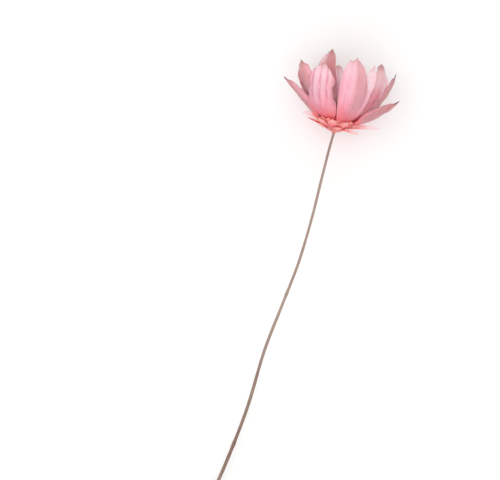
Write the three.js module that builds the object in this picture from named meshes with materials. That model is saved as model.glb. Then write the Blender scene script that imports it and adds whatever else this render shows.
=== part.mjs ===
// A dried daisy: one cut stem with one cup-shaped head of papery petals, lying on a table.
// Millimetres, +Z up. Seen from above, the head points up the page, which is +Y, and right is +X.
// The stem's cut end and the tips of two hidden petals rest on the table, which is Z = 0.

import * as THREE from "three";
import { LoftGeometry } from "three/addons/geometries/LoftGeometry.js";

// Pose of the head. Its foot is the point where the flower's axis leaves the stem's neck.
const HEAD_FOOT = new THREE.Vector3(18.12, 60.95, 12.36);
const HEAD_LEAN = THREE.MathUtils.degToRad(10); // of the flower's axis, from +Y towards +X
const HEAD_RISE = THREE.MathUtils.degToRad(6); // of the flower's axis, above the table

// Stem: how far each bend lies to the right of the head's foot and up the page from it
const STEM_BENDS = [
  [-52.3, -142],
  [-46.9, -129.5],
  [-42.7, -120.7],
  [-34.8, -102.5],
  [-28.6, -88.7],
  [-22.8, -73.7],
  [-18.3, -58.7],
  [-13.4, -46.1],
  [-9.6, -36.3],
  [-7.4, -29.2],
  [-5.6, -22.7],
  [-3.5, -14.1],
  [-1.5, -6.2],
];
const STEM_CUT_RADIUS = 0.55; // at the cut end
const STEM_NECK_RADIUS = 0.34; // just below the head
const STEM_SAG = 1.25; // power of the fall from the head to the table: 1 would be a straight line
const STEM_STEPS = 58;
const STEM_SIDES = 12;

// Receptacle, the swollen tip of the stem: its radius at heights along the flower's axis
const NECK_BELOW_FOOT = 2.4;
const RECEPTACLE_PROFILE = [
  { up: -1.9, out: 0.55 },
  { up: -1.45, out: 1.2 },
  { up: -0.95, out: 2.1 },
  { up: -0.35, out: 2.95 },
  { up: 0.25, out: 3.65 },
  { up: 0.9, out: 4.1 },
  { up: 1.6, out: 4.25 },
  { up: 2.1, out: 4.15 },
  { up: 2.4, out: 3.4 },
  { up: 2.6, out: 2.2 },
  { up: 2.7, out: 0.8 },
];

// Florets: a dome of packed tubes over the receptacle
const FLORETS_FLOOR = 3.05;
const FLORETS_HEIGHT = 3.7;
const FLORETS_RADIUS = 4.9;
const FLORETS_FOOT_RADIUS = 4.1;
const FLORETS_SIDES = 28;
const FLORETS_STEPS = 9;

// Seats: where petals and bracts grow from the receptacle, row by row from the rim down
const SEATS = [
  { out: 4.5, up: 2.1 },
  { out: 4.6, up: 1.45 },
  { out: 4.45, up: 0.8 },
  { out: 4.05, up: 0.15 },
  { out: 3.4, up: -0.5 },
  { out: 2.6, up: -1.1 },
];

// Make of each kind of leaf. fullness is the power of its outline: the lower, the fuller its
// shoulders. steps run along the leaf and sides round its section.
const INNER_PETAL = { footWidth: 2, thickness: 0.32, fullness: 0.5, steps: 12, sides: 12 };
const OUTER_PETAL = { footWidth: 2, thickness: 0.32, fullness: 0.85, steps: 12, sides: 12 };
const BRACT = { footWidth: 1.5, thickness: 0.3, fullness: 0.85, steps: 6, sides: 8 };
const POINT_WIDTH = 0.3; // of a tip, which stays this blunt
const POINT_THINNING = 0.4; // how much thinner a leaf is at its tip

// Leaves. around is the angle about the flower's axis in degrees: 0 faces up from the table and
// 90 lies on the right. tipOut and tipUp place the tip from the axis and along it, row is the seat
// and rise the slope in degrees with which the leaf goes from its seat. sweep is how many degrees its
// tip swings round the axis, twist how many it turns about its own length by the tip, and peak the
// share of the length at which it is widest, which is half of it unless given.
const INNER_PETALS = [
  { around: 18, tipOut: 11.6, tipUp: 19.3, width: 7.2, row: 2, rise: 34, sweep: -8, peak: 0.62 },
  { around: 32, tipOut: 10.6, tipUp: 17.8, width: 4.6, row: 1, rise: 39, sweep: 11.5 },
  { around: 95, tipOut: 13.1, tipUp: 15.8, width: 6.4, row: 0, rise: 28, twist: -12 },
  { around: 128, tipOut: 11.8, tipUp: 17.3, width: 7.2, row: 1, rise: 18 },
  { around: 164, tipOut: 10.8, tipUp: 16.4, width: 5, row: 0, rise: 28, sweep: -6 },
  { around: 188, tipOut: 11.4, tipUp: 15.3, width: 5.6, row: 1, rise: 28 },
  { around: 209, tipOut: 8.4, tipUp: 19.2, width: 6.2, row: 0, rise: 40 },
  { around: 248, tipOut: 10.8, tipUp: 14.2, width: 6.8, row: 1, rise: 30 },
  { around: 300, tipOut: 13.4, tipUp: 15.9, width: 7.6, row: 0, rise: 46, twist: 14 },
  { around: 331.5, tipOut: 11.7, tipUp: 16.7, width: 7.8, row: 1, rise: 34, sweep: -1, peak: 0.54 },
];
const OUTER_PETALS = [
  { around: 69, tipOut: 16.2, tipUp: 9.7, width: 4.6, row: 3, rise: 28, twist: -26 },
  { around: 150, tipOut: 15.4, tipUp: 9.8, width: 4.8, row: 3, rise: 14 },
  { around: 210, tipOut: 15.4, tipUp: 9.8, width: 4.8, row: 3, rise: 14 },
  { around: 287, tipOut: 16, tipUp: 10.8, width: 4.4, row: 3, rise: 45, twist: 20 },
];
const BRACTS = [
  { around: 352, tipOut: 6.8, tipUp: 2.1, width: 2.3, row: 4, rise: 28 },
  { around: 26, tipOut: 6.9, tipUp: 1.9, width: 2.2, row: 4, rise: 26 },
  { around: 87, tipOut: 11.7, tipUp: 1, width: 2.4, row: 4, rise: 20, twist: -35 },
  { around: 118, tipOut: 9, tipUp: 0.4, width: 2.2, row: 4, rise: 4 },
  { around: 180, tipOut: 7.4, tipUp: 1.7, width: 2.3, row: 4, rise: 20 },
  { around: 240, tipOut: 8.8, tipUp: 0.6, width: 2.2, row: 4, rise: 4 },
  { around: 256, tipOut: 9.3, tipUp: 1.7, width: 2.6, row: 3, rise: 38, twist: 40 },
  { around: 317, tipOut: 6.5, tipUp: 1.7, width: 2.3, row: 4, rise: 26 },
  { around: 52, tipOut: 8.6, tipUp: -0.9, width: 2.1, row: 5, rise: 8, twist: -35 },
  { around: 148, tipOut: 6.8, tipUp: 0.2, width: 2, row: 5, rise: 14 },
  { around: 208, tipOut: 6.4, tipUp: 0.3, width: 2.1, row: 5, rise: 16 },
  { around: 299, tipOut: 5.4, tipUp: 0.1, width: 2, row: 5, rise: 13 },
  { around: 9, tipOut: 5.4, tipUp: 0.1, width: 2, row: 5, rise: 12 },
];

const petalPaper = new THREE.MeshStandardMaterial({ color: 0xe9a9b8, roughness: 0.75, metalness: 0 });
const bractPaper = new THREE.MeshStandardMaterial({ color: 0xdf7f82, roughness: 0.8, metalness: 0 });
const floretFluff = new THREE.MeshStandardMaterial({ color: 0xb98478, roughness: 0.95, metalness: 0 });
const stemWood = new THREE.MeshStandardMaterial({ color: 0x96705f, roughness: 0.85, metalness: 0 });

const { degToRad } = THREE.MathUtils;
const UP = new THREE.Vector3(0, 0, 1);

// The flower's own frame: its foot is the origin, +Z runs along the axis and +X to the right
const head = new THREE.Group();
head.position.copy(HEAD_FOOT);
head.rotation.set(HEAD_RISE - Math.PI / 2, 0, -HEAD_LEAN, "ZXY");
head.updateMatrixWorld(true);
const flowerAxis = new THREE.Vector3(0, 0, 1).transformDirection(head.matrixWorld);

function along(axisHeight) {
  return HEAD_FOOT.clone().addScaledVector(flowerAxis, axisHeight);
}

// A ring of points round a centre, square to a direction
function ring(centre, direction, radius, sides) {
  const side = new THREE.Vector3().crossVectors(direction, UP).normalize();
  const top = new THREE.Vector3().crossVectors(direction, side);
  return Array.from({ length: sides }, (_, k) => {
    const turn = (2 * Math.PI * k) / sides;
    return centre
      .clone()
      .addScaledVector(side, radius * Math.cos(turn))
      .addScaledVector(top, radius * Math.sin(turn));
  });
}

// The stem's centre line: it falls from the neck to the table as a power of the length left
function stemLine() {
  const neck = along(-NECK_BELOW_FOOT);
  const flat = STEM_BENDS.map(([right, ahead]) =>
    new THREE.Vector3(HEAD_FOOT.x + right, HEAD_FOOT.y + ahead, 0),
  );
  const plan = new THREE.CatmullRomCurve3([...flat, neck.clone().setZ(0)]);
  const lengths = plan.getLengths(flat.length);
  const whole = lengths.at(-1);
  const fall = neck.z - STEM_CUT_RADIUS;
  const bends = flat.map((point, k) =>
    point.clone().setZ(STEM_CUT_RADIUS + fall * (lengths[k] / whole) ** STEM_SAG),
  );
  return new THREE.CatmullRomCurve3([...bends, neck]);
}

// Stem and receptacle in one loft: it tapers along the line, then flares along the flower's axis
function makeStem() {
  const line = stemLine();
  const sections = Array.from({ length: STEM_STEPS + 1 }, (_, k) => {
    const share = k / STEM_STEPS;
    const radius = THREE.MathUtils.lerp(STEM_CUT_RADIUS, STEM_NECK_RADIUS, share);
    return ring(line.getPointAt(share), line.getTangentAt(share), radius, STEM_SIDES);
  });
  for (const { up, out } of RECEPTACLE_PROFILE) {
    sections.push(ring(along(up), flowerAxis, out, STEM_SIDES));
  }
  return new LoftGeometry(sections, { capStart: true, capEnd: true });
}

// Florets: the side swells from the foot to the widest ring and closes over the top as a dome
function makeFlorets() {
  const profile = [new THREE.Vector2(0, FLORETS_FLOOR)];
  for (let k = 0; k <= FLORETS_STEPS; k += 1) {
    const share = k / FLORETS_STEPS;
    const dome = Math.sqrt(1 - share ** 3);
    const swell = THREE.MathUtils.lerp(FLORETS_FOOT_RADIUS, FLORETS_RADIUS, Math.min(1, 3 * share));
    profile.push(new THREE.Vector2(swell * dome, FLORETS_FLOOR + FLORETS_HEIGHT * share));
  }
  return new THREE.LatheGeometry(profile, FLORETS_SIDES).rotateX(Math.PI / 2);
}

// A petal or a bract: a thin leaf along an arc of a circle, from its seat to its tip, cupped round the
// flower's axis. The arc leaves the seat at the slope rise and turns by twice the angle between that
// slope and the straight line to the tip. The outline is a narrowing foot plus a sine to a power, whose
// argument is bent so that it is widest at peak. The section turns about the arc up to twist at the tip.
function makeLeaf(shape, { footWidth, thickness, fullness, steps, sides }) {
  const { sweep = 0, twist = 0, peak = 0.5 } = shape;
  const seat = SEATS[shape.row];
  const chord = Math.hypot(shape.tipOut - seat.out, shape.tipUp - seat.up);
  const rise = degToRad(shape.rise);
  const turn = 2 * (Math.atan2(shape.tipUp - seat.up, shape.tipOut - seat.out) - rise);
  const radius = chord / (2 * Math.sin(turn / 2));
  const bend = Math.log(0.5) / Math.log(peak);
  const sections = Array.from({ length: steps + 1 }, (_, k) => {
    const t = k / steps;
    const slope = rise + turn * t;
    const out = seat.out + radius * (Math.sin(slope) - Math.sin(rise));
    const up = seat.up + radius * (Math.cos(rise) - Math.cos(slope));
    const angle = degToRad(shape.around + sweep * t * t);
    const outward = new THREE.Vector3(Math.sin(angle), -Math.cos(angle), 0);
    const lengthwise = outward.clone().multiplyScalar(Math.cos(slope)).setZ(Math.sin(slope));
    const turned = degToRad(twist * t * (2 - t));
    const level = new THREE.Vector3(Math.cos(angle), Math.sin(angle), 0);
    const across = level.applyAxisAngle(lengthwise, turned);
    const inward = new THREE.Vector3().crossVectors(lengthwise, across);
    const body = Math.sin(Math.PI * t ** bend) ** fullness;
    const halfWidth = Math.max((footWidth * (1 - t) ** 2 + shape.width * body) / 2, POINT_WIDTH / 2);
    const halfThickness = (thickness / 2) * (1 - POINT_THINNING * t ** 4);
    const curl = Math.sin(slope) / (2 * out);
    const centre = outward.clone().multiplyScalar(out).setZ(up);
    return Array.from({ length: sides }, (_, j) => {
      const round = (2 * Math.PI * j) / sides;
      const aside = halfWidth * Math.cos(round);
      return centre
        .clone()
        .addScaledVector(across, aside)
        .addScaledVector(inward, curl * aside ** 2 + halfThickness * Math.sin(round));
    });
  });
  return new LoftGeometry(sections, { capStart: true, capEnd: true });
}

function addPiece(group, name, geometry, material) {
  const mesh = new THREE.Mesh(geometry, material);
  mesh.name = name;
  group.add(mesh);
}

function addLeaves(name, shapes, make, material) {
  shapes.forEach((shape, k) => addPiece(head, `${name}_${k + 1}`, makeLeaf(shape, make), material));
}

const daisy = new THREE.Group();
addPiece(daisy, "stem", makeStem(), stemWood);
addPiece(head, "disc_florets", makeFlorets(), floretFluff);
addLeaves("inner_petal", INNER_PETALS, INNER_PETAL, petalPaper);
addLeaves("outer_petal", OUTER_PETALS, OUTER_PETAL, petalPaper);
addLeaves("bract", BRACTS, BRACT, bractPaper);
daisy.add(head);

export default daisy;
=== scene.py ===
"""A dried daisy lying on a pale table: one cut stem with one cup-shaped head of papery petals.

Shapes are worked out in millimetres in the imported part's frame, where +Z is up from the table, +Y runs
up the page towards the head and +X to the right. Meshes are made in metres. Sizes come first, then the
leaves, the stalk, the florets, the finishes, and the table with its light and camera.
"""

from typing import NamedTuple

import bpy
import numpy as np
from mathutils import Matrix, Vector


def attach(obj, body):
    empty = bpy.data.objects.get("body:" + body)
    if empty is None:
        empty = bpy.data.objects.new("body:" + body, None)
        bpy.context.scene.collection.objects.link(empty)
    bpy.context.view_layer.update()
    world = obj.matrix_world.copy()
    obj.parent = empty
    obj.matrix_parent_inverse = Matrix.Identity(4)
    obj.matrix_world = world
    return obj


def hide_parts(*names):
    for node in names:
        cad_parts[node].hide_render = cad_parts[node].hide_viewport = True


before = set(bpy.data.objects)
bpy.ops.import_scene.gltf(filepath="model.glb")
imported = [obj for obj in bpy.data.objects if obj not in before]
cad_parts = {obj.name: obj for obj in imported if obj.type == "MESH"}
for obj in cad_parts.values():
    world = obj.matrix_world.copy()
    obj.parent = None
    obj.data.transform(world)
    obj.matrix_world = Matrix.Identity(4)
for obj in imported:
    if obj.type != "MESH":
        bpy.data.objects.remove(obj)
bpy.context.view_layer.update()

MM = 0.001

# Pose of the head: its foot, where the flower's axis leaves the stem's neck, and the axis itself
HEAD_FOOT = np.array([18.12, 60.95, 12.36])
HEAD_LEAN = np.radians(10)  # from +Y towards +X
HEAD_RISE = np.radians(6)  # above the table
RIGHT = np.array([np.cos(HEAD_LEAN), -np.sin(HEAD_LEAN), 0])
AXIS = np.array(
    [np.sin(HEAD_LEAN) * np.cos(HEAD_RISE), np.cos(HEAD_LEAN) * np.cos(HEAD_RISE), np.sin(HEAD_RISE)]
)
DOWNWARD = np.cross(AXIS, RIGHT)
FLOWER = np.stack([RIGHT, DOWNWARD, AXIS])  # the flower's own three directions

# Stem: how far each bend lies to the right of the head's foot and up the page from it
STEM_BENDS = np.array(
    [
        [-52.3, -142],
        [-46.9, -129.5],
        [-42.7, -120.7],
        [-34.8, -102.5],
        [-28.6, -88.7],
        [-22.8, -73.7],
        [-18.3, -58.7],
        [-13.4, -46.1],
        [-9.6, -36.3],
        [-7.4, -29.2],
        [-5.6, -22.7],
        [-3.5, -14.1],
        [-1.5, -6.2],
    ]
)
STEM_CUT_RADIUS = 0.55
STEM_NECK_RADIUS = 0.34
STEM_SAG = 1.25  # power of the fall from the head to the table
STEM_ROWS = 620
STEM_SIDES = 42
STEM_FULLNESS = 0.93  # mean of the stem's uneven thickness, as a share of the radii above
RIDGES = 7  # round the stem
RIDGE_DEPTH = 0.055  # as a share of the radius
SCARS = (0.19, 0.43, 0.71)  # of old leaves, as shares of the stem's length
SCAR_SWELLING = 0.16  # as a share of the radius
SCAR_LENGTH = 0.006  # as a share of the stem's length
GRAIN_LENGTH = 8.013  # of the stem in its map, whose width is 1
PITH_DEPTH = 0.16  # how far the middle of the cut end is sunk

# Receptacle: height along the axis and radius, from the neck up and then in over its top
NECK_BELOW_FOOT = 2.4
RECEPTACLE_UP, RECEPTACLE_OUT = np.array(
    [
        [-NECK_BELOW_FOOT, STEM_NECK_RADIUS],
        [-1.9, 0.55],
        [-1.45, 1.2],
        [-0.95, 2.1],
        [-0.35, 2.95],
        [0.25, 3.65],
        [0.9, 4.1],
        [1.6, 4.25],
        [2.1, 4.15],
        [2.4, 3.4],
        [2.6, 2.2],
        [2.7, 0.8],
    ]
).T
RECEPTACLE_ROWS = 40
CORAL_FROM_NECK = 0.7  # length over which the stalk's brown turns coral

# Disc of florets: a dome over the receptacle, with their roots on a smaller dome inside it
DISC_FLOOR = 3.05
DISC_HEIGHT = 3.7
DISC_RADIUS = 4.9
DISC_FILLED = 0.97  # share of the radius out to which florets stand
ROOTS_OUT = 0.8  # as a share of the tips' distance from the axis
ROOTS_UP = 0.62  # as a share of the tips' height above the floor
FLORETS = 150
BRISTLES = 900

# Seats: distance from the axis and height along it where leaves grow from the receptacle. The first six
# carry petals and bracts, from the rim down, and the last five the base scales, from the stem up.
SEATS = np.array(
    [
        [4.5, 2.1],
        [4.6, 1.45],
        [4.45, 0.8],
        [4.05, 0.15],
        [3.4, -0.5],
        [2.6, -1.1],
        [0.62, -1.8],
        [1.35, -1.4],
        [2.2, -0.92],
        [3.0, -0.35],
        [3.7, 0.25],
    ]
)
POINT_WIDTH = 0.3
BEAK_WIDTH = 0.13  # as a share of the half width
CLOSING = 0.5  # how far a leaf's veins run together above its widest place: 0 stays parallel
CROWDING = 0.6  # how far a leaf's columns crowd towards its edges: 0 spaces them evenly
WAIST_PLACE, WAIST_LENGTH = 0.5, 0.2  # as shares of the leaf's length
RIM_REACH = 0.25  # how far in from its outline a leaf is thinned
RIM_THINNING = 0.55  # share of the thickness that is missing at the outline

# Shares of a leaf's length between which its relief sets in, and the share from which its tip curls
RIBS_SET_IN = (0.08, 0.4)
FOLDS_SET_IN = (0.12, 0.5)
WAVES_SET_IN = (0.2, 0.7)
CURL_FROM = 0.72


class Make(NamedTuple):
    """What petals, bracts or scales have in common. Millimetres."""

    foot_width: float
    fullness: float  # power of the outline: the lower, the fuller its shoulders
    thickness: float
    rows: int
    columns: int
    ribs: int  # ribs and grooves from edge to edge
    rib_depth: float
    crumple: float  # depth of the small creases
    raggedness: float  # of the outline, as a share of the length


class Leaf(NamedTuple):
    """One petal, bract or scale: where it grows and how it has dried. Millimetres and degrees."""

    around: float  # about the flower's axis: 0 faces up from the table and 90 lies on the right
    tip_out: float  # of the tip from the axis
    tip_up: float  # of the tip along the axis
    width: float
    row: int  # its seat's, in SEATS
    rise: float  # slope at the seat
    sweep: float = 0.0  # how far the tip swings round the axis
    twist: float = 0.0  # about its own length, at the tip
    peak: float = 0.5  # share of the length at which it is widest
    folds: float = 0.15  # depth of its lengthwise folds
    fold_count: float = 3.0  # from edge to edge
    fold_shift: float = 0.0  # of its folds from the middle line, as a share of the half width
    wave: float = 0.25  # height of the waves of its edges
    waist: float = 0.0  # how far its right edge is drawn in half way up, as a share of the half width
    curl: float = 0.0  # how far its tip bends towards the axis
    beak: float = 0.035  # narrow point above the shoulders, as a share of the length
    hook: float = 0.0  # how far the point stands to one side, as a share of the half width
    pale: float = 0.3  # how far its upper half has faded, and how much painted light pales its upper inner face
    mauve: float = 0.3  # how much mauve painted shade its furrows get
    brown: float = 0.4  # how brown its rim and its point are, and how dark its lower inner face is: browning and painted shade
    side_shade: float = 0.0  # how far painted shade darkens it towards its right edge, or towards its left one if negative


INNER = Make(foot_width=2.0, fullness=0.5, thickness=0.16, rows=96, columns=57,
             ribs=15, rib_depth=0.04, crumple=0.07, raggedness=0.02)
OUTER = Make(foot_width=2.0, fullness=0.85, thickness=0.16, rows=96, columns=45,
             ribs=11, rib_depth=0.04, crumple=0.07, raggedness=0.012)
BRACT = Make(foot_width=1.5, fullness=0.85, thickness=0.12, rows=40, columns=27,
             ribs=7, rib_depth=0.03, crumple=0.04, raggedness=0.04)
SCALE = Make(foot_width=1.6, fullness=0.6, thickness=0.1, rows=16, columns=13,
             ribs=4, rib_depth=0.03, crumple=0.02, raggedness=0.06)

# Each leaf's around, tip_out, tip_up, width, row and rise, and then what sets it apart
INNER_PETALS = [
    Leaf(18, 11.6, 19.3, 7.2, 2, 34, sweep=-8, peak=0.62, folds=0.12, curl=0.5, hook=0.15, pale=0.72,
         mauve=0.3, brown=0.15, side_shade=0.6),
    Leaf(32, 10.6, 17.8, 4.6, 1, 39, sweep=11.5, pale=1.3, mauve=0.3, brown=0.2),
    Leaf(95, 13.1, 15.8, 6.4, 0, 28, twist=-12, folds=0.3, fold_count=1, pale=0.4, mauve=0.9, brown=0.9,
         side_shade=1.25),
    Leaf(128, 11.8, 17.3, 7.2, 1, 18, folds=0.3, fold_count=2, curl=0.1, beak=0.01, pale=1.1, mauve=0.8,
         brown=0.45, side_shade=0.3),
    Leaf(164, 10.8, 16.4, 5, 0, 28, sweep=-6, folds=0.25, pale=0.75, brown=0.35),
    Leaf(188, 11.4, 15.3, 5.6, 1, 28, folds=0.25, pale=0.9, brown=0.2),
    Leaf(209, 8.4, 19.2, 6.2, 0, 40, folds=0.25, fold_count=2, curl=0.4, pale=1, mauve=0.6, brown=0.3,
         side_shade=-0.8),
    Leaf(248, 10.8, 14.2, 6.8, 1, 30, folds=0.25, pale=0.6, brown=0.35),
    Leaf(300, 13.4, 15.9, 7.6, 0, 46, twist=14, folds=0.3, fold_count=1.5, beak=0.05, pale=0.6, mauve=0.7,
         brown=0.6, side_shade=-0.95),
    Leaf(331.5, 11.7, 16.7, 7.8, 1, 34, sweep=-1, peak=0.54, folds=0.26, fold_count=3.6,
         fold_shift=0.17, wave=0.7, waist=0.24, pale=0.73, mauve=0.9, brown=0.3, side_shade=0.2),
]
OUTER_PETALS = [
    Leaf(69, 16.2, 9.7, 4.6, 3, 28, twist=-26, folds=0.35, fold_count=1, beak=0.05, pale=0.3, mauve=1,
         brown=0.9, side_shade=1.3),
    Leaf(150, 15.4, 9.8, 4.8, 3, 14, folds=0.1, wave=0.12, curl=0.15, pale=0.5, brown=0.4),
    Leaf(210, 15.4, 9.8, 4.8, 3, 14, folds=0.1, wave=0.12, curl=0.15, pale=0.5, brown=0.4),
    Leaf(287, 16, 10.8, 4.4, 3, 45, twist=20, folds=0.35, fold_count=1, beak=0.05, pale=0.2, mauve=0.9,
         brown=0.8, side_shade=-1),
]
SLIGHT = {"folds": 0.1, "fold_count": 1.0, "wave": 0.12, "beak": 0.05, "brown": 0.25}  # of bracts
BRACTS = [
    Leaf(352, 6.8, 2.1, 2.3, 4, 28, **SLIGHT),
    Leaf(26, 6.9, 1.9, 2.2, 4, 26, **SLIGHT),
    Leaf(87, 11.7, 1, 2.4, 4, 20, twist=-35, pale=0.95, **SLIGHT),
    Leaf(118, 9, 0.4, 2.2, 4, 4, **SLIGHT),
    Leaf(180, 7.4, 1.7, 2.3, 4, 20, **SLIGHT),
    Leaf(240, 8.8, 0.6, 2.2, 4, 4, pale=0.4, **SLIGHT),
    Leaf(256, 9.3, 1.7, 2.6, 3, 38, twist=40, pale=0.9, **SLIGHT),
    Leaf(317, 6.5, 1.7, 2.3, 4, 26, **SLIGHT),
    Leaf(52, 8.6, -0.9, 2.1, 5, 8, twist=-35, pale=0.8, **SLIGHT),
    Leaf(148, 6.8, 0.2, 2, 5, 14, **SLIGHT),
    Leaf(208, 6.4, 0.3, 2.1, 5, 16, **SLIGHT),
    Leaf(299, 5.4, 0.1, 2, 5, 13, **SLIGHT),
    Leaf(9, 5.4, 0.1, 2, 5, 12, **SLIGHT),
]

# Base scales, row by row: how many, their seat, and the length, slope and width that they vary about
SCALE_ROWS = [
    (7, 6, 2, 24, 1.9),
    (10, 7, 2.4, 31, 2),
    (13, 8, 2.6, 36, 2),
    (15, 9, 2.8, 32, 2),
    (17, 10, 3.3, 33, 2),
]
SCALE_LOOK = Leaf(0, 5, 1, 2, 6, 30, pale=0.1, brown=0.05)  # gives their finish only
FIRST_SCALE_SEED = 500


def on_table(points):
    """Points of the flower's own frame, whose Z is its axis, in the frame of the table."""
    return HEAD_FOOT + points @ FLOWER


def smooth_step(low, high, x):
    """0 below low and 1 above high, with a cubic ease between them."""
    share = np.clip((x - low) / (high - low), 0, 1)
    return share * share * (3 - 2 * share)


def angles(sides):
    """Angles of points evenly spaced round a circle."""
    return 2 * np.pi * np.arange(sides) / sides


def wander(rng, x, waves, pitch):
    """A smooth random line in about -1 to 1: a sum of sines, each faster and weaker than the last."""
    orders = np.arange(1, waves + 1)
    phases = rng.uniform(0, 2 * np.pi, waves)
    turns = pitch * orders * rng.uniform(0.8, 1.2, waves)
    return (np.sin(np.multiply.outer(x, turns) + phases) / orders).sum(-1) / 1.6


def quads(index, closed=False):
    """Four-sided faces between neighbours in a grid of vertex numbers, closed round its columns or not."""
    if closed:
        index = np.concatenate([index, index[:, :1]], axis=1)
    corners = [index[:-1, :-1], index[:-1, 1:], index[1:, 1:], index[1:, :-1]]
    return np.stack(corners, axis=-1).reshape(-1, 4)


def make_piece(name, points, faces, finish, values=None, maps=None):
    """An object at the origin from points in millimetres and arrays of faces, with one number per vertex
    for each value and one pair per vertex for the map."""
    mesh = bpy.data.meshes.new(name)
    mesh.from_pydata((points * MM).tolist(), [], [f.tolist() for part in faces for f in part])
    mesh.update()
    for label, numbers in (values or {}).items():
        attribute = mesh.attributes.new(label, "FLOAT", "POINT")
        attribute.data.foreach_set("value", np.asarray(numbers, np.float32).ravel())
    if maps is not None:
        corners = np.zeros(len(mesh.loops), np.int32)
        mesh.loops.foreach_get("vertex_index", corners)
        layer = mesh.uv_layers.new(name="grain")
        layer.data.foreach_set("uv", np.asarray(maps, np.float32)[corners].ravel())
    mesh.polygons.foreach_set("use_smooth", np.ones(len(mesh.polygons), bool))
    mesh.materials.append(finish)
    piece = bpy.data.objects.new(name, mesh)
    bpy.context.scene.collection.objects.link(piece)
    return piece


def leaf_arc(leaf, t):
    """Distance from the axis, height along it and slope at share t of a leaf's length: an arc of a circle
    from the seat, at the slope rise, to the tip."""
    seat_out, seat_up = SEATS[leaf.row]
    rise = np.radians(leaf.rise)
    chord = np.hypot(leaf.tip_out - seat_out, leaf.tip_up - seat_up)
    turn = 2 * (np.arctan2(leaf.tip_up - seat_up, leaf.tip_out - seat_out) - rise)
    radius = chord / (2 * np.sin(turn / 2))
    slope = rise + turn * t
    out = seat_out + radius * (np.sin(slope) - np.sin(rise))
    up = seat_up + radius * (np.cos(rise) - np.cos(slope))
    return out, up, slope


def half_width(leaf, make, t):
    """Half a leaf's width at share t: a narrowing foot plus a sine to the power of its fullness, whose
    argument is bent so that it is widest at the leaf's peak."""
    share = np.clip(t, 0, 1)
    body = np.sin(np.pi * share ** (np.log(0.5) / np.log(leaf.peak))) ** make.fullness
    return np.maximum((make.foot_width * (1 - share) ** 2 + leaf.width * body) / 2, POINT_WIDTH / 2)


def widest_place(leaf, make):
    """Share of the length at which a leaf is widest, and half its width there."""
    shares = np.linspace(0, 1, 600)
    widths = half_width(leaf, make, shares)
    return shares[widths.argmax()], widths.max()


def aside_of(leaf, make, t, s):
    """How far a leaf's skin lies beside its middle line at share s of its half width. Columns follow the
    outline up to the widest place, and close in above it by the share CLOSING of its narrowing. The right
    side is drawn in by the waist, under a bell curve of the length."""
    widest, most = widest_place(leaf, make)
    own = half_width(leaf, make, t)
    drawn_in = leaf.waist * np.exp(-(((t - WAIST_PLACE) / WAIST_LENGTH) ** 2)) * smooth_step(0, 1, s)
    return s * (1 - drawn_in) * np.where(t < widest, own, most + CLOSING * (own - most))


def leaf_grid(leaf, make, rng):
    """Shares t along and s across for the rows and columns of a leaf. Each column ends at its own t, the
    place where it meets the outline, which is cut back by a ragged line and, outside the beak, by the
    beak's height."""
    even = np.linspace(-1, 1, make.columns)
    s = (1 - CROWDING) * even + CROWDING * np.sin(np.pi / 2 * even)
    widest, most = widest_place(leaf, make)
    shares = np.linspace(widest, 1, 400)
    meeting = np.abs(s) * most * (1 - CLOSING) / (1 - CLOSING * np.abs(s))
    reach = np.interp(meeting, half_width(leaf, make, shares)[::-1], shares[::-1])
    shoulder = 1 - np.exp(-(((s - leaf.hook) / BEAK_WIDTH) ** 2))
    ragged = (0.7 + wander(rng, s, waves=6, pitch=7.0)).clip(0)
    reach -= leaf.beak * shoulder + make.raggedness * ragged
    t = np.linspace(0, 1, make.rows)[:, None] * reach
    return t, np.broadcast_to(s, t.shape)


def leaf_relief(leaf, make, phases, t, s):
    """How far a leaf's dried skin lies towards the axis from its smooth arc, and how deep its furrows are
    on the outer side from -1 to 1. Ribs and folds are cosines of s, which drifts a little along the
    length; creases are products of slanting sines; the edges wave by the cube and the sixth power of s,
    and the tip curls by the square of the length above CURL_FROM."""
    drift = s + 0.05 * np.sin(4 * t + phases[0]) + 0.03 * np.sin(9 * t + phases[1])
    grown = smooth_step(*RIBS_SET_IN, t)
    ribs = np.cos(np.pi * make.ribs * drift / 2 + phases[2])
    fold_turn = np.pi * leaf.fold_count * (drift - leaf.fold_shift)
    folds = -np.cos(fold_turn + 0.3 * np.sin(phases[3])) * smooth_step(*FOLDS_SET_IN, t)
    side = phases[4] + 2 * np.sign(s)
    ruffle = np.abs(s) ** 3 * np.sin(14 * t + side) + 0.5 * s**6 * np.sin(37 * t + 2 * side)
    edge = ruffle * smooth_step(*WAVES_SET_IN, t)
    curl = np.clip((t - CURL_FROM) / (1 - CURL_FROM), 0, None) ** 2
    wide = np.sin(5 * s + 11 * t + phases[5]) * np.sin(6 * s - 17 * t + phases[6])
    fine = np.sin(13 * s + 23 * t + phases[1]) * np.sin(3 * s - 31 * t + phases[0])
    crease = (wide + 0.6 * fine) * grown
    lift = make.rib_depth * ribs * grown + make.crumple * crease
    lift = lift + leaf.folds * folds + leaf.wave * edge + leaf.curl * curl
    furrow = (0.3 * ribs * grown + folds * min(1.0, leaf.folds / 0.25) + 0.3 * crease) / 1.4
    return lift, furrow


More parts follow.
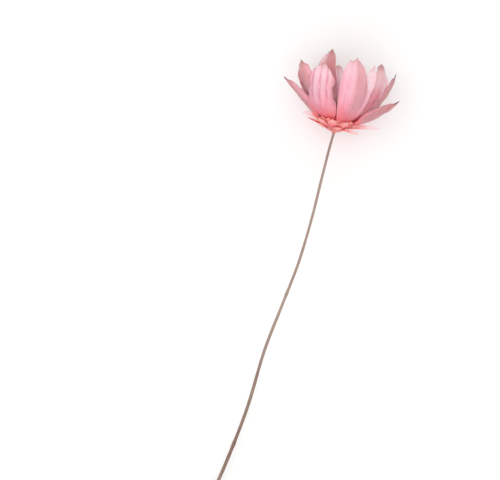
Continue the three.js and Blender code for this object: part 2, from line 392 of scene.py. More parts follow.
def leaf_points(leaf, make, phases, t, s):
    """Points of a leaf's middle skin in the flower's own frame, for arrays t and s: an arc carried out
    from the seat, whose section turns by the twist and is cupped round the axis."""
    out, up, slope = (a[..., None] for a in leaf_arc(leaf, t))
    aside = aside_of(leaf, make, t, s)[..., None]
    lift = leaf_relief(leaf, make, phases, t, s)[0][..., None]
    angle = np.radians(leaf.around + leaf.sweep * t * t)
    level = np.zeros_like(angle)
    outward = np.stack([np.sin(angle), -np.cos(angle), level], axis=-1)
    beside = np.stack([np.cos(angle), np.sin(angle), level], axis=-1)
    axis = np.array([0.0, 0.0, 1.0])
    raised = np.cos(slope) * axis - np.sin(slope) * outward
    turned = np.radians(leaf.twist * t * (2 - t))[..., None]
    across = np.cos(turned) * beside + np.sin(turned) * raised
    inward = np.cos(turned) * raised - np.sin(turned) * beside
    cup = np.sin(slope) / (2 * out) * aside**2
    return out * outward + up * axis + aside * across + (cup + lift) * inward


def leaf_shell(leaf, make, seed):
    """Points, faces, values and map of a leaf as a closed shell: its middle skin moved half a thickness to
    both sides along its normal, thinner at the outline, and joined round the rim. The rim is 1 at the
    outline and falls off as the exponential of the distance from it."""
    rng = np.random.default_rng(seed)
    phases = rng.uniform(0, 2 * np.pi, 7)
    t, s = leaf_grid(leaf, make, rng)
    step = 1e-3
    middle = leaf_points(leaf, make, phases, t, s)
    lengthwise = leaf_points(leaf, make, phases, t + step, s) - middle
    crosswise = leaf_points(leaf, make, phases, t, s + step) - middle
    normal = np.cross(lengthwise, crosswise)
    normal /= np.linalg.norm(normal, axis=-1, keepdims=True)
    length = np.hypot(leaf.tip_out - SEATS[leaf.row][0], leaf.tip_up - SEATS[leaf.row][1])
    to_side = aside_of(leaf, make, t, 1 - np.abs(s))
    to_top = (t[-1] - t) * length
    rim = np.exp(-np.minimum(to_side, to_top) / RIM_REACH)
    half = make.thickness / 2 * (1 - RIM_THINNING * rim)[..., None]
    points = np.concatenate([middle + half * normal, middle - half * normal]).reshape(-1, 3)

    inside = np.arange(t.size).reshape(t.shape)
    outside = inside + t.size
    border = np.concatenate([inside[0, :-1], inside[:-1, -1], inside[-1, :0:-1], inside[:0:-1, 0]])
    band = quads(np.stack([border, border + t.size]), closed=True)
    faces = [np.concatenate([quads(inside)[:, ::-1], quads(outside), band])]

    furrow = leaf_relief(leaf, make, phases, t, s)[1]
    values = {
        "rim": np.tile(rim.ravel(), 2),
        "inside": np.repeat([1.0, 0.0], t.size),
        "furrow": np.concatenate([-furrow.ravel(), furrow.ravel()]),
    }
    maps = np.stack([0.5 + s / 2, t], axis=-1).reshape(-1, 2)
    return on_table(points), faces, values, np.tile(maps, (2, 1))


def add_leaves(kind, leaves, make, paper, piece_word, seed):
    """A piece for each leaf of a kind, in place of the plain one of the same number."""
    for k, leaf in enumerate(leaves, start=1):
        node = f"{kind}_{k}"
        name = f"{node}_{piece_word}"
        points, faces, values, maps = leaf_shell(leaf, make, seed + k)
        piece = make_piece(name, points, faces, paper(name, leaf), values, maps)
        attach(piece, "root")
        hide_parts(node)


def make_base_scales(finish):
    """Short ragged scales that overlap round the receptacle like shingles, row by row: leaves of random
    length, slope and width, joined in one mesh. Each row stands between the scales of the row below."""
    rng = np.random.default_rng(23)
    shells = []
    for number, (count, seat, length, slope, width) in enumerate(SCALE_ROWS):
        for k in range(count):
            around = 360 * (k + 0.5 * (number % 2)) / count + rng.uniform(-5, 5)
            reach = length * rng.uniform(0.85, 1.1)
            steep = np.radians(slope + rng.uniform(-4, 4))
            leaf = Leaf(
                around,
                SEATS[seat][0] + reach * np.cos(steep),
                SEATS[seat][1] + reach * np.sin(steep),
                width * rng.uniform(0.9, 1.15),
                seat,
                np.degrees(steep) + rng.uniform(-14, -6),
                twist=rng.uniform(-8, 8),
                folds=0.05,
                fold_count=1.0,
                wave=0.06,
                beak=0.06,
            )
            shells.append(leaf_shell(leaf, SCALE, FIRST_SCALE_SEED + len(shells)))
    starts = np.cumsum([0] + [len(shell[0]) for shell in shells])
    points = np.concatenate([shell[0] for shell in shells])
    faces = [shell[1][0] + start for shell, start in zip(shells, starts)]
    values = {label: np.concatenate([shell[2][label] for shell in shells]) for label in shells[0][2]}
    maps = np.concatenate([shell[3] for shell in shells])
    piece = make_piece("base_scales", points, faces, finish, values, maps)
    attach(piece, "root")


def smooth_line(points, steps):
    """A centripetal Catmull-Rom curve through points: between two of them a cubic, whose end slopes weigh
    the neighbouring chords by the square roots of their lengths."""
    padded = np.vstack([2 * points[0] - points[1], points, 2 * points[-1] - points[-2]])
    p0, p1, p2, p3 = padded[:-3], padded[1:-2], padded[2:-1], padded[3:]
    roots = np.sqrt(np.linalg.norm(np.diff(padded, axis=0), axis=1))[:, None]
    d0, d1, d2 = roots[:-2], roots[1:-1], roots[2:]
    m1 = ((p1 - p0) / d0 - (p2 - p0) / (d0 + d1) + (p2 - p1) / d1) * d1
    m2 = ((p2 - p1) / d1 - (p3 - p1) / (d1 + d2) + (p3 - p2) / d2) * d1
    u = (np.arange(steps) / steps)[:, None, None]
    cubic = p1 + u * m1 + u**2 * (3 * (p2 - p1) - 2 * m1 - m2) + u**3 * (2 * (p1 - p2) + m1 + m2)
    return np.vstack([cubic.transpose(1, 0, 2).reshape(-1, points.shape[1]), points[-1]])


def lengths_along(line):
    """How far each point of a line is from its start, measured along it."""
    return np.concatenate([[0], np.cumsum(np.linalg.norm(np.diff(line, axis=0), axis=1))])


def evenly(line, count):
    """The same line with its points evenly spaced."""
    lengths = lengths_along(line)
    wanted = np.linspace(0, lengths[-1], count)
    return np.stack([np.interp(wanted, lengths, line[:, k]) for k in range(line.shape[1])], axis=1)


def stem_line():
    """The stem's centre line from its cut end to the neck: it lies on the table at the cut and rises to
    the head as a power of the length."""
    neck = HEAD_FOOT - NECK_BELOW_FOOT * AXIS
    plan = np.vstack([HEAD_FOOT[:2] + STEM_BENDS, neck[:2]])
    lengths = lengths_along(plan)
    rise = (neck[2] - STEM_CUT_RADIUS) * (lengths / lengths[-1]) ** STEM_SAG
    return evenly(smooth_line(np.column_stack([plan, STEM_CUT_RADIUS + rise]), steps=24), STEM_ROWS)


def rings(centres, directions, radii, sides):
    """Rings of points round centres, square to directions, with a radius for each ring and side."""
    turn = angles(sides)
    side = np.cross(directions, [0, 0, 1])
    side /= np.linalg.norm(side, axis=1, keepdims=True)
    top = np.cross(directions, side)
    spoke = np.cos(turn)[:, None] * side[:, None] + np.sin(turn)[:, None] * top[:, None]
    return centres[:, None] + radii[..., None] * spoke


def closed_skin(grid, first, last):
    """Points and faces of a skin of rings, closed by a fan to a point at each end."""
    rows, sides = grid.shape[:2]
    index = np.arange(rows * sides).reshape(rows, sides)
    points = np.vstack([grid.reshape(-1, 3), first, last])
    start, end = rows * sides, rows * sides + 1
    fan_in = np.stack([np.full(sides, start), np.roll(index[0], -1), index[0]], axis=1)
    fan_out = np.stack([np.full(sides, end), index[-1], np.roll(index[-1], -1)], axis=1)
    return points, [quads(index, closed=True), fan_in, fan_out]


def stem_radii(share, ridge):
    """Radius of the stem for each ring and side: an even taper, made uneven by a wandering line, with a
    bell-shaped swelling at each scar and with its ridges."""
    swelling = sum(SCAR_SWELLING * np.exp(-(((share - at) / SCAR_LENGTH) ** 2)) for at in SCARS)
    uneven = 0.05 * wander(np.random.default_rng(11), share * 30, waves=6, pitch=2.0)
    taper = STEM_CUT_RADIUS + (STEM_NECK_RADIUS - STEM_CUT_RADIUS) * share
    return (taper * (STEM_FULLNESS + uneven + swelling))[:, None] * (1 + RIDGE_DEPTH * ridge)


def cut_rings(centre, tangent, radii):
    """Rings of the stem's cut end from the middle out, the inner ones sunk along the stem."""
    shares = np.array([0.35, 0.7, 0.93])
    sunk = np.array([0.14, 0.05, 0.0])
    directions = np.tile(tangent, (len(sunk), 1))
    return rings(centre + sunk[:, None] * tangent, directions, shares[:, None] * radii, STEM_SIDES)


def receptacle_rings(up):
    """The receptacle's profile turned about the flower's axis, with nine faint bumps round it."""
    out = np.interp(up, RECEPTACLE_UP, RECEPTACLE_OUT)
    bumps = 1 + 0.02 * np.cos(9 * angles(STEM_SIDES) + 2 * up[:, None])
    directions = np.tile(AXIS, (len(up), 1))
    return rings(HEAD_FOOT + up[:, None] * AXIS, directions, out[:, None] * bumps, STEM_SIDES)


def make_stalk(finish):
    """Stem and receptacle as one skin: lengthwise ridges that turn slowly, as cosines of the angle plus a
    share of the length, swellings at old leaf scars, a cut end with a sunken pith, and the receptacle."""
    line = stem_line()
    tangents = np.gradient(line, axis=0)
    tangents /= np.linalg.norm(tangents, axis=1, keepdims=True)
    share = np.linspace(0, 1, STEM_ROWS)
    turn = angles(STEM_SIDES)
    ridge = np.cos(RIDGES * turn + 5 * share[:, None]) + 0.5 * np.cos(11 * turn - 9 * share[:, None] + 1)
    radii = stem_radii(share, ridge)
    cut = cut_rings(line[0], tangents[0], radii[0])
    up = np.linspace(RECEPTACLE_UP[0], RECEPTACLE_UP[-1], RECEPTACLE_ROWS)[1:]
    grid = np.concatenate([cut, rings(line, tangents, radii, STEM_SIDES), receptacle_rings(up)])
    cut_middle = line[0] + PITH_DEPTH * tangents[0]
    points, faces = closed_skin(grid, cut_middle, HEAD_FOOT + RECEPTACLE_UP[-1] * AXIS)

    # The same order as the grid: the cut end, the stem and the receptacle, then the two middles
    sides = (1, STEM_SIDES)
    lengths = np.concatenate([np.zeros(len(cut)), share, 1 + (up - up[0]) / lengths_along(line)[-1]])
    pith = np.concatenate([np.array([1, 0.8, 0.3]), np.zeros(STEM_ROWS + len(up))])
    reddened = smooth_step(-NECK_BELOW_FOOT, CORAL_FROM_NECK - NECK_BELOW_FOOT, up)
    head_end = np.concatenate([np.zeros(len(cut) + STEM_ROWS), reddened])
    crest = np.concatenate([np.zeros(cut.shape[:2]), ridge / 1.5, np.zeros((len(up), STEM_SIDES))])
    values = {
        "pith": np.append(np.tile(pith[:, None], sides), [1, 0]),
        "head_end": np.append(np.tile(head_end[:, None], sides), [0, 1]),
        "crest": np.append(crest, [0, 0]),
    }
    around = np.tile(np.abs(np.linspace(-1, 1, STEM_SIDES, endpoint=False)), (len(grid), 1))
    maps = np.stack([around, np.tile(lengths[:, None] * GRAIN_LENGTH, sides)], axis=-1).reshape(-1, 2)
    maps = np.vstack([maps, [0, 0], [0, GRAIN_LENGTH]])
    piece = make_piece("stalk", points, faces, finish, values, maps)
    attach(piece, "root")
    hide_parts("stem")


def copies(template, faces, roots, frames):
    """A template's points and faces set down at each root, turned by its frame of three directions."""
    points = roots[:, None] + template[None] @ frames
    shift = (np.arange(len(roots)) * len(template))[:, None, None]
    return points.reshape(-1, 3), [(part[None] + shift).reshape(-1, part.shape[1]) for part in faces]


def frames_along(directions, spins):
    """For each direction a frame whose third axis is that direction, spun about it."""
    third = directions / np.linalg.norm(directions, axis=1, keepdims=True)
    helper = np.where(np.abs(third[:, 2:]) > 0.9, [[1.0, 0, 0]], [[0, 0, 1.0]])
    first = np.cross(helper, third)
    first /= np.linalg.norm(first, axis=1, keepdims=True)
    second = np.cross(third, first)
    turned = np.cos(spins)[:, None] * first + np.sin(spins)[:, None] * second
    return np.stack([turned, np.cross(third, turned), third], axis=1)


def disc_places(count):
    """Tips and roots of florets in the flower's own frame: a spiral by the golden angle. The dome's height
    is the cube root of 1 less the square of the distance from the axis, in shares of its size."""
    k = np.arange(count)
    radius = DISC_FILLED * DISC_RADIUS * np.sqrt((k + 0.5) / count)
    angle = k * np.pi * (3 - np.sqrt(5))
    share = np.cbrt(1 - (radius / DISC_RADIUS) ** 2)
    ring = np.stack([np.cos(angle), np.sin(angle)], axis=1)
    tips = np.column_stack([radius[:, None] * ring, DISC_FLOOR + DISC_HEIGHT * share])
    root_height = DISC_FLOOR + ROOTS_UP * DISC_HEIGHT * share - 0.1
    roots = np.column_stack([ROOTS_OUT * radius[:, None] * ring, root_height])
    return tips, roots


def make_floret_bed(finish):
    """The dome that the florets stand on, a little under them. Its radius is the square root of 1 less
    the cube of the share of its height, with faint bumps round it."""
    rows, sides = 22, 44
    floor = DISC_FLOOR - 0.3
    dome_height, dome_radius = 0.64 * DISC_HEIGHT, 0.84 * DISC_RADIUS
    share = np.linspace(0, 1, rows)[:-1]
    radius = dome_radius * np.sqrt(1 - share**3)
    turn = angles(sides)
    bump = 1 + 0.02 * np.cos(13 * turn)
    ring = np.stack([np.cos(turn), np.sin(turn)], axis=1)
    flat = radius[:, None, None] * bump[None, :, None] * ring
    height = np.broadcast_to((floor + dome_height * share)[:, None, None], (len(share), sides, 1))
    grid = np.concatenate([flat, height], axis=2)
    points, faces = closed_skin(grid, [0, 0, floor], [0, 0, floor + dome_height])
    values = {"tip": np.full(len(points), 0.0), "outer": np.full(len(points), 0.5)}
    piece = make_piece("floret_bed", on_table(points), faces, finish, values)
    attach(piece, "root")


def make_florets(finish):
    """Packed tubes, each a small trumpet with five lobes, that lean outwards towards the disc's edge. The
    trumpet's profile runs up the outside and back down into its mouth, and flare and lift carry every
    second side out and up as a lobe."""
    rng = np.random.default_rng(5)
    scatter = 0.09
    tips, roots = disc_places(FLORETS)
    tips = tips + rng.normal(0, scatter, tips.shape)
    lengths = np.linalg.norm(tips - roots, axis=1)
    sides = 10
    turn = angles(sides)
    lobe = np.where(np.arange(sides) % 2, 1.0, -1.0)
    height = np.array([0.0, 0.5, 0.82, 1.0, 0.96, 0.7])
    radius = np.array([0.15, 0.19, 0.27, 0.36, 0.3, 0.12])
    flare = np.array([0, 0, 0.02, 0.22, 0.18, 0])
    lift = np.array([0, 0, 0.02, 0.12, 0.12, 0])
    reach = radius[:, None] * (1 + flare[:, None] * lobe)
    level = height[:, None] + lift[:, None] * lobe
    grid = np.stack([reach * np.cos(turn), reach * np.sin(turn), level], axis=2)
    template, faces = closed_skin(grid, [0, 0, -0.02], [0, 0, 0.62])
    frames = frames_along(tips - roots, rng.uniform(0, 2 * np.pi, FLORETS))
    outer = np.linalg.norm(tips[:, :2], axis=1) / DISC_RADIUS
    girth = 0.75 + 0.35 * outer + rng.uniform(-0.1, 0.1, FLORETS)
    frames = frames * np.stack([girth, girth, lengths], axis=1)[:, :, None]
    points, faces = copies(template, faces, roots, frames)
    values = {
        "tip": np.tile(template[:, 2], FLORETS),
        "outer": np.repeat(outer + rng.uniform(-0.15, 0.15, FLORETS), len(template)),
    }
    piece = make_piece("florets", on_table(points), faces, finish, values)
    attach(piece, "root")
    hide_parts("disc_florets")


def make_bristles(finish):
    """Dry bristles between the florets: thin three-sided spikes that bend by the square of their height
    and stand a little past the florets."""
    rng = np.random.default_rng(7)
    tips, roots = disc_places(BRISTLES)
    lean = rng.normal(0, 0.3, tips.shape)
    directions = tips - roots + lean
    directions *= (rng.uniform(1.0, 1.35, BRISTLES) / np.linalg.norm(directions, axis=1))[:, None]
    directions *= np.linalg.norm(tips - roots, axis=1)[:, None]
    turn = angles(3)
    height = np.array([0.0, 0.4, 0.75])
    radius = np.array([0.045, 0.04, 0.028])
    bend = 0.12 * height**2
    grid = np.stack(
        [
            radius[:, None] * np.cos(turn) + bend[:, None],
            radius[:, None] * np.sin(turn),
            np.broadcast_to(height[:, None], (len(height), len(turn))),
        ],
        axis=2,
    )
    template, faces = closed_skin(grid, [0, 0, -0.02], [0.14, 0, 1.0])
    lengths = np.linalg.norm(directions, axis=1)
    frames = frames_along(directions, rng.uniform(0, 2 * np.pi, BRISTLES))
    frames = frames * np.stack([np.ones(BRISTLES), np.ones(BRISTLES), lengths], axis=1)[:, :, None]
    points, faces = copies(template, faces, roots, frames)
    outer = np.linalg.norm(tips[:, :2], axis=1) / DISC_RADIUS
    values = {
        "tip": np.tile(template[:, 2], BRISTLES),
        "outer": np.repeat(outer + rng.uniform(-0.2, 0.2, BRISTLES), len(template)),
    }
    piece = make_piece("floret_bristles", on_table(points), faces, finish, values)
    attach(piece, "root")


class Value:
    """A number that a node gives, with a number's arithmetic."""

    def __init__(self, finish, socket):
        self.finish = finish
        self.socket = socket

    def __add__(self, other):
        return self.finish.math("ADD", self, other)

    __radd__ = __add__

    def __sub__(self, other):
        return self.finish.math("SUBTRACT", self, other)

    def __rsub__(self, other):
        return self.finish.math("SUBTRACT", other, self)

    def __mul__(self, other):
        return self.finish.math("MULTIPLY", self, other)

    __rmul__ = __mul__

    def clamped(self):
        return self.finish.math("MINIMUM", self.finish.math("MAXIMUM", self, 0.0), 1.0)


class Finish:
    """A material under construction: its nodes, and the Principled shader at its end, with the numbers
    that stay the same over the whole surface."""

    def __init__(self, name, constants):
        self.material = bpy.data.materials.new(name)
        self.material.use_nodes = True
        self.tree = self.material.node_tree
        self.shader = self.tree.nodes["Principled BSDF"]
        for label, value in constants.items():
            self.shader.inputs[label].default_value = value

    def feed(self, socket, value):
        """A link or a number into a socket."""
        if isinstance(value, Value):
            value = value.socket
        if isinstance(value, bpy.types.NodeSocket):
            self.tree.links.new(value, socket)
        else:
            socket.default_value = value

    def node(self, kind, settings=None, inputs=None):
        """A node of any kind: its settings first, ramp stops among them, then its sockets by name or
        number, each with a value or a link."""
        made = self.tree.nodes.new("ShaderNode" + kind)
        for label, value in (settings or {}).items():
            if label == "stops":
                ramp = made.color_ramp.elements
                while len(ramp) < len(value):
                    ramp.new(0.5)
                for element, (place, colour) in zip(ramp, value):
                    element.position = place
                    element.color = colour
            else:
                setattr(made, label, value)
        for label, value in (inputs or {}).items():
            self.feed(made.inputs[label], value)
        return made

    def math(self, operation, first, second=0.0):
        made = self.node("Math", {"operation": operation}, {0: first, 1: second})
        return Value(self, made.outputs[0])

    def attribute(self, name):
        made = self.node("Attribute", {"attribute_name": name})
        return Value(self, made.outputs["Fac"])

    def noise(self, place, scale, detail, roughness=0.5):
        """Smooth noise from about 0 to 1 at a place."""
        made = self.node(
            "TexNoise", None, {"Vector": place, "Scale": scale, "Detail": detail, "Roughness": roughness}
        )
        return Value(self, made.outputs["Fac"])

    def blend(self, first, second, share):
        """Two colours mixed by a share."""
        settings = {"data_type": "RGBA", "clamp_factor": True}
        made = self.node("Mix", settings, {0: share, 6: first, 7: second})
        return made.outputs[2]

    def ramp(self, value, stops):
        """A colour for each value, between stops that each give a value and its colour."""
        made = self.node("ValToRGB", {"stops": stops}, {0: value})
        return made.outputs["Color"]

    def spread(self, value, low, high):
        """0 below low and 1 above high, eased between."""
        made = self.node(
            "MapRange", {"interpolation_type": "SMOOTHSTEP"}, {0: value, 1: low, 2: high, 3: 0.0, 4: 1.0}
        )
        return Value(self, made.outputs[0])

    def grain(self):
        """The piece's own map as two values: across from 0 to 1, and the share of the length."""
        uv = self.node("UVMap", {"uv_map": "grain"}).outputs["UV"]
        parts = self.node("SeparateXYZ", None, {0: uv})
        return Value(self, parts.outputs[0]), Value(self, parts.outputs[1])

    def stretched(self, across, along, shift):
        """Coordinates of the piece's own map, with more of them across than along, and moved by a shift."""
        uv = self.node("UVMap", {"uv_map": "grain"}).outputs["UV"]
        made = self.node(
            "Mapping", None, {"Vector": uv, "Location": (shift, shift, shift), "Scale": (across, along, 1)}
        )
        return made.outputs[0]

    def place(self):
        """Object coordinates in millimetres."""
        metres = self.node("TexCoord").outputs["Object"]
        return self.node("VectorMath", {"operation": "SCALE"}, {0: metres, "Scale": 1 / MM}).outputs[0]

    def finished(self, colour, roughness, height, depth):
        """Feeds the shader: its colour, its roughness, and a height in shares of a depth in millimetres."""
        bump = self.node("Bump", None, {"Height": height, "Distance": depth * MM, "Strength": 1.0})
        self.feed(self.shader.inputs["Base Color"], colour)
        self.feed(self.shader.inputs["Roughness"], roughness)
        self.feed(self.shader.inputs["Normal"], bump.outputs[0])
        return self.material


def tone(red, green, blue):
    """A colour for a shader from the 0 to 255 of a screen, by the standard curve between the two."""
    screen = np.array([red, green, blue]) / 255
    linear = np.where(screen <= 0.04045, screen / 12.92, ((screen + 0.055) / 1.055) ** 2.4)
    return (*linear.tolist(), 1.0)


PAINTED_LIGHT_PINK = tone(250, 224, 228)
PALE_PINK = tone(250, 214, 220)
ROSE_PINK = tone(240, 182, 196)
WARM_PINK = tone(236, 158, 175)
SALMON = tone(228, 130, 141)
CORAL = tone(238, 104, 114)
RED_ORANGE = tone(255, 134, 122)
BLUSH = tone(255, 176, 164)
CRIMSON = tone(180, 64, 74)
# Mauve for the painted shade in the furrows and towards the margins
MAUVE = tone(198, 128, 146)
BROWN_ROSE = tone(190, 142, 146)
GREY_MAUVE = tone(150, 120, 127)
GREY_BROWN = tone(120, 107, 103)
WARM_BROWN = tone(124, 92, 82)
GREY_TAN = tone(166, 145, 133)
TAN = tone(214, 164, 144)
STRAW = tone(216, 200, 184)
TABLE_WHITE = tone(247, 247, 246)
TABLE_WHITER = tone(250, 250, 249)


def petal_paper(name, leaf):
    """Papery petal: coral at the foot, rose higher up and faded pink above, with fine lengthwise veins,
    mauve painted shade in its furrows and towards its margins, painted shade towards one side, aged
    patches, an inside that is browner below, partly by painted shade, and paler above by painted light, a
    thin grey-mauve rim and a grey-brown point."""
    constants = {
        "Specular IOR Level": 0.3,
        "Subsurface Weight": 0.9,
        "Subsurface Scale": 0.55 * MM,
        "Subsurface Radius": (1.0, 0.55, 0.5),
    }
    f = Finish(name, constants)
    across, along = f.grain()
    rim = f.attribute("rim")
    inside = f.attribute("inside")
    furrow = f.attribute("furrow")
    blotch = f.noise(f.place(), scale=0.35, detail=2.0)
    lengthwise = f.stretched(across=22, along=1.4, shift=leaf.around)
    streak = f.noise(lengthwise, scale=1.0, detail=4.0, roughness=0.6)
    vein = f.noise(f.stretched(across=60, along=2.0, shift=leaf.around + 5), scale=1.0, detail=2.0)
    tooth = f.noise(f.place(), scale=1.6, detail=4.0)
    faded = 0.25 * (leaf.pale - 0.85)
    height = along + faded + (blotch - 0.5) * 0.16 + (streak - 0.5) * 0.12
    above_foot = f.spread(height, 0.2, 0.45)

    colour = f.ramp(height, [(0.03, CORAL), (0.16, SALMON), (0.31, WARM_PINK), (0.5, ROSE_PINK)])
    colour = f.blend(colour, PALE_PINK, f.spread(height, 0.5, 0.95) * leaf.pale)
    # Painted shade: mauve in the furrows, on whichever face they sink
    furrow_shade = (f.spread(furrow, 0.0, 0.9) * (0.25 + streak) * leaf.mauve).clamped()
    colour = f.blend(colour, MAUVE, furrow_shade * above_foot)
    colour = f.blend(colour, WARM_PINK, f.spread(vein, 0.52, 0.7) * 0.2 * above_foot)
    colour = f.blend(colour, PALE_PINK, f.spread(streak, 0.54, 0.74) * 0.35 * f.spread(height, 0.35, 0.6))
    # Painted light: the upper inner face is made paler, as if lit through
    colour = f.blend(colour, PAINTED_LIGHT_PINK, inside * f.spread(height, 0.55, 0.9) * (0.1 + 0.7 * leaf.pale))
    # Painted shade: darker towards one edge
    if leaf.side_shade:
        side = across if leaf.side_shade > 0 else 1 - across
        start = 0.75 - 0.6 * abs(leaf.side_shade)
        painted_side_shade = f.spread(side + (streak - 0.5) * 0.3, start, start + 0.3) * f.spread(along, 0.12, 0.35)
        painted_side_shade = painted_side_shade * (1 - 0.4 * f.spread(height, 0.65, 1.0))
        colour = f.blend(colour, BROWN_ROSE, painted_side_shade * abs(leaf.side_shade))
    # Browner low on the inner face: partly dried colour, partly painted shade of the cup
    inside_brown_and_shade = inside * leaf.brown * (0.3 + 0.5 * f.spread(blotch, 0.3, 0.7))
    colour = f.blend(colour, BROWN_ROSE, inside_brown_and_shade * (1 - f.spread(height, 0.4, 0.8)))
    aged = f.spread(blotch + streak, 1.0, 1.3) * 0.4 * leaf.brown
    colour = f.blend(colour, GREY_BROWN, aged * f.spread(height, 0.3, 0.6))
    # Painted shade: mauve towards both margins, where the cupped flanks turn away
    flank_shade = f.spread(f.math("ABSOLUTE", across - 0.5), 0.28, 0.5) * above_foot
    colour = f.blend(colour, MAUVE, flank_shade * 0.35)
    rim_share = f.spread(rim, 0.3 - 0.2 * leaf.brown, 1.0) * (0.25 + 0.5 * leaf.brown + 0.3 * blotch)
    colour = f.blend(colour, GREY_MAUVE, rim_share.clamped() * f.spread(along, 0.3, 0.65))
    point = f.spread(along + 0.1 * streak, 0.9, 1.03) * (0.25 + 0.7 * leaf.brown)
    colour = f.blend(colour, GREY_BROWN, point)

    roughness = 0.5 + 0.25 * streak + 0.1 * rim
    return f.finished(colour, roughness, height=streak * 0.5 + vein * 0.4 + tooth * 0.5, depth=0.07)


def bract_paper(name, leaf):
    """Ragged scale at the foot of the head: coral at its foot and orange red above, with lighter streaks,
    paler towards its grey, frayed tip."""
    constants = {
        "Specular IOR Level": 0.3,
        "Subsurface Weight": 0.8,
        "Subsurface Scale": 0.25 * MM,
        "Subsurface Radius": (1.0, 0.5, 0.45),
    }
    f = Finish(name, constants)
    along = f.grain()[1]
    rim = f.attribute("rim")
    blotch = f.noise(f.place(), scale=0.6, detail=2.0)
    lengthwise = f.stretched(across=18, along=1.6, shift=leaf.around)
    streak = f.noise(lengthwise, scale=1.0, detail=4.0, roughness=0.6)
    tooth = f.noise(f.place(), scale=2.0, detail=4.0)
    height = along + (blotch - 0.5) * 0.4 + (streak - 0.5) * 0.2
    colour = f.ramp(height, [(0.15, CORAL), (0.7, RED_ORANGE)])
    colour = f.blend(colour, PALE_PINK, f.spread(height, 0.2, 0.7) * leaf.pale)
    colour = f.blend(colour, BLUSH, f.spread(streak, 0.5, 0.75) * 0.45)
    worn = (f.spread(along + 0.2 * streak, 0.92, 1.14) + f.spread(rim, 0.4, 1.0) * 0.4).clamped()
    colour = f.blend(colour, GREY_MAUVE, worn * leaf.brown)
    return f.finished(colour, 0.6 + 0.25 * streak, height=streak * 0.7 + tooth * 0.4, depth=0.05)


def floret_fluff(name):
    """Dry florets and bristles: red brown at the foot and towards the disc's edge, tan at the tips."""
    f = Finish(name, {"Specular IOR Level": 0.2})
    tip = f.attribute("tip")
    outer = f.attribute("outer")
    grain = f.noise(f.place(), scale=2.4, detail=4.0)
    colour = f.blend(WARM_BROWN, TAN, f.spread(tip + grain * 0.4, 0.45, 1.25))
    colour = f.blend(colour, BROWN_ROSE, (f.spread(outer, 0.3, 0.85) * 0.75 + grain * 0.2).clamped())
    colour = f.blend(colour, CRIMSON, f.spread(outer, 0.6, 0.95) * 0.55 * (1 - tip * 0.4))
    return f.finished(colour, 0.75 + 0.2 * grain, height=grain, depth=0.05)


def stem_wood(name):
    """Dry stalk: grey brown with straw-coloured streaks and a painted highlight along its ridges, pinkish
    flecks, painted shade in the grooves, coral on the receptacle and straw-coloured pith at the cut."""
    f = Finish(name, {"Specular IOR Level": 0.35})
    pith = f.attribute("pith")
    head_end = f.attribute("head_end")
    crest = f.attribute("crest")
    lengthwise = f.stretched(across=9, along=3, shift=0)
    streak = f.noise(lengthwise, scale=1.0, detail=5.0, roughness=0.65)
    patch = f.noise(f.place(), scale=0.09, detail=3.0)
    fine = f.noise(f.stretched(across=40, along=30, shift=3), scale=1.0, detail=3.0, roughness=0.6)
    along = f.grain()[1]
    colour = f.blend(WARM_BROWN, GREY_TAN, f.spread(patch + 0.35 * streak + 0.04 * along, 0.55, 1.05))
    # Straw streaks, and a painted highlight along the ridge crests
    streaks_and_ridge_highlight = (f.spread(streak, 0.52, 0.72) * 0.35 + f.spread(crest, 0.2, 1.0) * 0.25).clamped()
    colour = f.blend(colour, STRAW, streaks_and_ridge_highlight)
    # Painted shade in the grooves between the ridges
    colour = f.blend(colour, WARM_BROWN, f.spread(0 - crest, 0.1, 0.9) * 0.6)
    colour = f.blend(colour, BROWN_ROSE, f.spread(fine, 0.58, 0.75) * 0.3)
    colour = f.blend(colour, CORAL, f.spread(head_end + (streak - 0.5) * 0.2, 0.1, 0.8))
    colour = f.blend(colour, STRAW, pith)
    return f.finished(colour, 0.6 + 0.25 * streak, height=streak * 0.6 + fine * 0.5, depth=0.08)


def table_top(name):
    """Pale matt table with a barely visible tooth."""
    f = Finish(name, {"Specular IOR Level": 0.2})
    tooth = f.noise(f.place(), scale=0.5, detail=4.0)
    colour = f.blend(TABLE_WHITE, TABLE_WHITER, f.noise(f.place(), scale=0.02, detail=2.0))
    return f.finished(colour, 0.85 + 0.1 * tooth, height=tooth, depth=0.02)


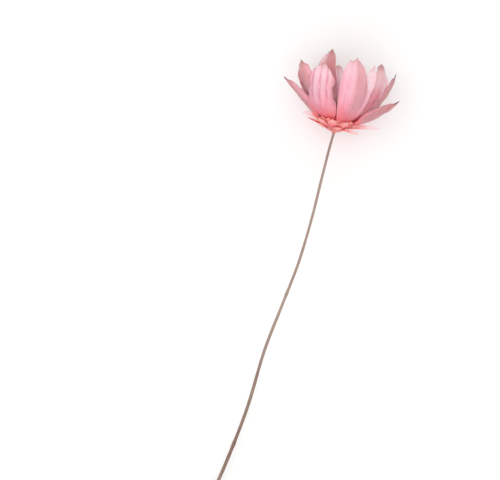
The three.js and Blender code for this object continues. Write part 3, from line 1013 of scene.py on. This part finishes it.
def make_table():
    """A flat square of table far larger than the daisy."""
    reach = 4000.0
    points = np.array([[-reach, -reach, 0], [reach, -reach, 0], [reach, reach, 0], [-reach, reach, 0]])
    table = make_piece("table", points, [np.array([[0, 1, 2, 3]])], table_top("table_top"))


def make_lights():
    """Soft studio light: an even white surround and one wide panel high above, a little to the left, that
    faces the head."""
    surround = 0.93
    panel_width = 700.0
    panel_watts = 1.6
    panel_place = np.array([-100.0, 40.0, 750.0])
    world = bpy.data.worlds.new("studio")
    world.use_nodes = True
    background = world.node_tree.nodes["Background"]
    background.inputs["Color"].default_value = (1, 1, 1, 1)
    background.inputs["Strength"].default_value = surround
    bpy.context.scene.world = world
    light = bpy.data.lights.new("key_panel", "AREA")
    light.size = panel_width * MM
    light.energy = panel_watts
    lamp = bpy.data.objects.new("key_panel", light)
    lamp.location = panel_place * MM
    lamp.rotation_euler = (Vector(HEAD_FOOT * MM) - lamp.location).to_track_quat("-Z", "Y").to_euler()
    bpy.context.scene.collection.objects.link(lamp)


def make_camera():
    """Straight above the table, with the head at the upper right and the stem leaving at the lower edge."""
    view_width = 130.0
    lens, sensor = 350.0, 36.0
    centre = np.array([-4.0, 31.0])
    camera = bpy.data.objects.new("camera", bpy.data.cameras.new("camera"))
    camera.data.lens = lens
    camera.data.sensor_width = sensor
    height = HEAD_FOOT[2] + view_width * lens / sensor
    camera.location = np.append(centre, height) * MM
    camera.data.clip_start = 0.01
    camera.data.clip_end = 20
    bpy.context.scene.collection.objects.link(camera)
    bpy.context.scene.camera = camera


make_camera()
make_lights()
make_table()
make_stalk(stem_wood("stem_wood"))
fluff = floret_fluff("floret_fluff")
make_floret_bed(fluff)
make_florets(fluff)
make_bristles(fluff)
add_leaves("inner_petal", INNER_PETALS, INNER, petal_paper, "paper", seed=100)
add_leaves("outer_petal", OUTER_PETALS, OUTER, petal_paper, "paper", seed=200)
add_leaves("bract", BRACTS, BRACT, bract_paper, "scale", seed=300)
make_base_scales(bract_paper("base_scale_paper", SCALE_LOOK))
bpy.context.scene.view_settings.view_transform = "Standard"
